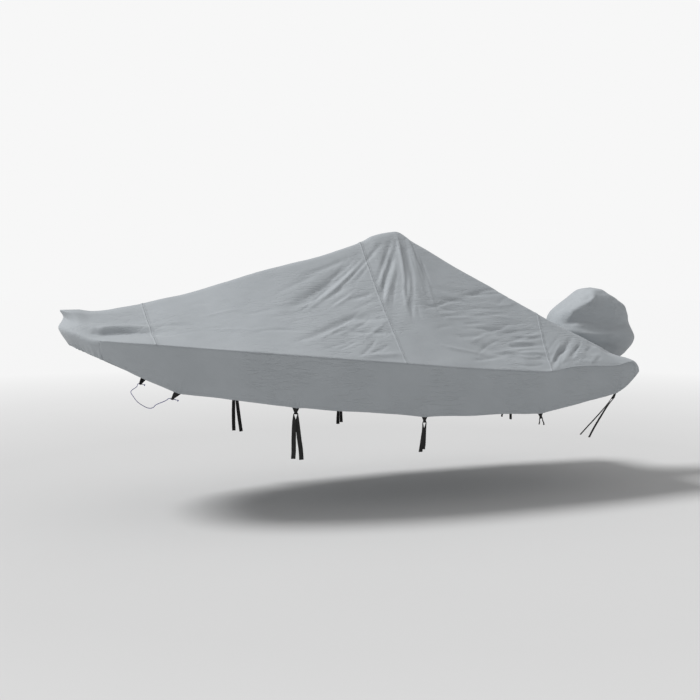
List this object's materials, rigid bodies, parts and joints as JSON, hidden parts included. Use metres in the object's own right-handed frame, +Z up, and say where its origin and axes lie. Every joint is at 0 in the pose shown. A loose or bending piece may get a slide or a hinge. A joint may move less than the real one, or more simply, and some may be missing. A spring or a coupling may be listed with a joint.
{
  "type": "boat cover",
  "caption": "Fitted cloth cover for a small open boat, rising to a peak over the console, with side skirts, webbing ties and a separate motor hood.",
  "frame": {"origin": "inner face of the cloth under the peak, where the boat's console holds the cover up", "axes": "+X along the boat towards the stern, +Y to starboard, +Z up"},
  "size_m": [5.818, 2.1158, 1.9784],
  "materials": {
    "cover_cloth": "matt grey coated polyester cloth with a fine plain weave",
    "black_webbing": "black woven webbing, slightly shiny along its ribs",
    "blue_cord": "thin braided cord, dull blue"
  },
  "bodies": {
    "root": {"bow_panel": "cover_cloth", "foredeck_panel": "cover_cloth", "midship_panel": "cover_cloth", "stern_panel": "cover_cloth", "side_panel_port": "cover_cloth", "side_panel_starboard": "cover_cloth", "motor_hood": "cover_cloth", "tie_loop_port_1": "black_webbing", "tie_loop_port_2": "black_webbing", "tie_loop_port_3": "black_webbing", "tie_loop_port_4": "black_webbing", "tie_loop_port_5": "black_webbing", "tie_loop_starboard_1": "black_webbing", "tie_loop_starboard_2": "black_webbing", "tie_loop_starboard_3": "black_webbing", "tie_loop_starboard_4": "black_webbing", "tie_loop_starboard_5": "black_webbing", "tie_port_2": "black_webbing", "tie_port_3": "black_webbing", "tie_port_4": "black_webbing", "tie_port_5": "black_webbing", "tie_starboard_2": "black_webbing", "tie_starboard_3": "black_webbing", "tie_starboard_4": "black_webbing", "tie_starboard_5": "black_webbing", "under_bow_cord": "blue_cord", "cord_knot_port": "blue_cord", "cord_knot_starboard": "blue_cord"}
  },
  "joints": []
}
